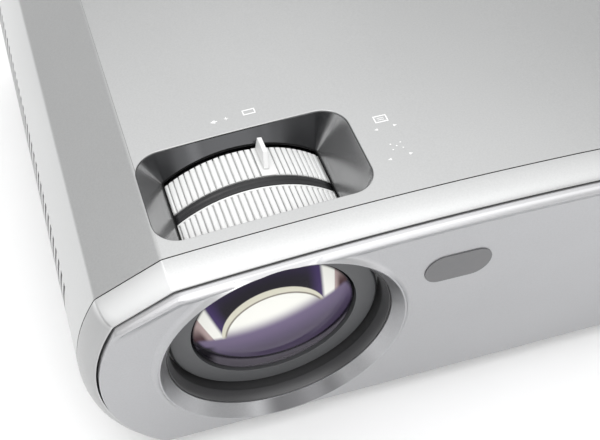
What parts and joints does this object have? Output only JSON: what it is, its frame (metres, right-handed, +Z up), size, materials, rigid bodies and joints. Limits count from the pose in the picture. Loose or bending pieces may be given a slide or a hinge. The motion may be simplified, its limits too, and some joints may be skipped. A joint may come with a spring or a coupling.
{
  "type": "desktop video projector",
  "caption": "Silver desktop video projector with a crowned housing, collared lens, ribbed zoom and focus rings in a well, top keypad, adjustable front foot and rear sockets.",
  "frame": {"origin": "centre of the footprint, on the surface that the feet stand on", "axes": "+X to the right of the housing as someone behind it looks along the beam's reverse, which is the right of the picture's front view; +Y from the lens side to the sockets; +Z up"},
  "size_m": [0.2262, 0.1794, 0.0792],
  "materials": {
    "silver_plastic": "silver paint, satin",
    "panel_silver": "cool silver paint, satin",
    "well_grey": "fine grained dark grey",
    "ring_white": "off-white, fine grained",
    "satin_black": "satin black",
    "lens_grey": "dark grey, satin",
    "coated_glass": "polished, purple anti-reflection coating",
    "window_grey": "smoked, gloss",
    "rubber_grey": "matte rubber",
    "grey_plastic": "fine grained grey",
    "cast_metal": "die cast, matt",
    "board_green": "green solder mask",
    "bright_metal": "bright sheet",
    "clear_glass": "clear, polished"
  },
  "bodies": {
    "housing": {"top_cover": "silver_plastic", "ring_well": "well_grey", "front_bezel": "silver_plastic", "front_panel": "panel_silver", "ir_window": "window_grey", "lens_shroud": "satin_black", "lens_barrel": "satin_black", "ring_spacer": "satin_black", "light_engine_case": "cast_metal", "image_chip": "satin_black", "chip_board": "board_green", "chip_heat_sink": "bright_metal", "light_tunnel": "bright_metal", "colour_wheel_motor": "bright_metal", "lamp_housing": "grey_plastic", "lamp_reflector": "bright_metal", "lamp_burner": "clear_glass", "main_board": "board_green", "power_supply": "board_green", "lamp_ballast": "bright_metal", "speaker": "satin_black", "keypad_board": "board_green", "exhaust_fan_frame": "satin_black", "power_light": "clear_glass", "lamp_light": "clear_glass", "rear_panel": "grey_plastic", "vga_port": "bright_metal", "serial_port": "bright_metal", "s_video_socket": "satin_black", "video_socket": "satin_black", "audio_socket": "satin_black", "usb_port": "bright_metal", "mains_inlet": "satin_black", "bottom_case": "silver_plastic", "lamp_cover": "silver_plastic", "lamp_cover_screw": "bright_metal", "rear_foot_left": "rubber_grey", "rear_foot_right": "rubber_grey"},
    "zoom_ring": {"zoom_ring": "ring_white"},
    "focus_ring": {"focus_ring": "ring_white"},
    "front_lens_group": {"front_lens_cell": "lens_grey", "front_lens": "coated_glass"},
    "zoom_lens_group": {"zoom_lens_cell": "lens_grey", "zoom_lens": "clear_glass"},
    "colour_wheel": {"colour_wheel": "clear_glass"},
    "exhaust_fan_rotor": {"exhaust_fan_rotor": "satin_black"},
    "power_button": {"power_button": "grey_plastic"},
    "source_button": {"source_button": "grey_plastic"},
    "menu_button": {"menu_button": "grey_plastic"},
    "up_button": {"up_button": "grey_plastic"},
    "down_button": {"down_button": "grey_plastic"},
    "left_button": {"left_button": "grey_plastic"},
    "right_button": {"right_button": "grey_plastic"},
    "power_rocker": {"power_rocker": "satin_black"},
    "elevator_foot": {"elevator_foot": "rubber_grey"},
    "foot_button": {"foot_button": "grey_plastic"}
  },
  "joints": [
    {"name": "zoom_ring_turn", "type": "hinge", "parent": "housing", "child": "zoom_ring", "pos_m": [-0.062, -0.0553, 0.041], "axis": [0, 1, 0], "range_deg": [-38, 26]},
    {"name": "focus_ring_turn", "type": "hinge", "parent": "housing", "child": "focus_ring", "pos_m": [-0.062, -0.06985, 0.041], "axis": [0, 1, 0], "range_deg": [-45, 45]},
    {"name": "focus_travel", "type": "slide", "parent": "housing", "child": "front_lens_group", "axis": [0, 1, 0], "range_m": [-0.0012, 0.0012]},
    {"name": "zoom_travel", "type": "slide", "parent": "housing", "child": "zoom_lens_group", "axis": [0, 1, 0], "range_m": [-0.0038, 0.0026]},
    {"name": "colour_wheel_spin", "type": "hinge", "parent": "housing", "child": "colour_wheel", "pos_m": [-0.0022, 0.00675, 0.041], "axis": [1, 0, 0], "continuous": true},
    {"name": "exhaust_fan_spin", "type": "hinge", "parent": "housing", "child": "exhaust_fan_rotor", "pos_m": [0.0915, 0.02175, 0.038], "axis": [1, 0, 0], "continuous": true},
    {"name": "power_press", "type": "slide", "parent": "housing", "child": "power_button", "axis": [0, 0, 1], "range_m": [-0.0006, 0], "stiffness_N_per_m": 800},
    {"name": "source_press", "type": "slide", "parent": "housing", "child": "source_button", "axis": [0, 0, 1], "range_m": [-0.0006, 0], "stiffness_N_per_m": 800},
    {"name": "menu_press", "type": "slide", "parent": "housing", "child": "menu_button", "axis": [0, 0, 1], "range_m": [-0.0006, 0], "stiffness_N_per_m": 800},
    {"name": "up_press", "type": "slide", "parent": "housing", "child": "up_button", "axis": [0, 0, 1], "range_m": [-0.0006, 0], "stiffness_N_per_m": 800},
    {"name": "down_press", "type": "slide", "parent": "housing", "child": "down_button", "axis": [0, 0, 1], "range_m": [-0.0006, 0], "stiffness_N_per_m": 800},
    {"name": "left_press", "type": "slide", "parent": "housing", "child": "left_button", "axis": [0, 0, 1], "range_m": [-0.0006, 0], "stiffness_N_per_m": 800},
    {"name": "right_press", "type": "slide", "parent": "housing", "child": "right_button", "axis": [0, 0, 1], "range_m": [-0.0006, 0], "stiffness_N_per_m": 800},
    {"name": "power_rocker_tilt", "type": "hinge", "parent": "housing", "child": "power_rocker", "pos_m": [0.088, 0.08165, 0.036], "axis": [1, 0, 0], "range_deg": [0, 20]},
    {"name": "elevator_foot_slide", "type": "slide", "parent": "housing", "child": "elevator_foot", "axis": [0, 0, 1], "range_m": [-0.018, 0]},
    {"name": "foot_button_press", "type": "slide", "parent": "housing", "child": "foot_button", "axis": [0, 0, 1], "range_m": [0, 0.0015], "stiffness_N_per_m": 600}
  ],
  "couplings": [
    {"joint": "focus_ring_turn", "follows": "focus_travel", "rad_per_m": 654.4},
    {"joint": "zoom_ring_turn", "follows": "zoom_travel", "rad_per_m": 174.5}
  ]
}
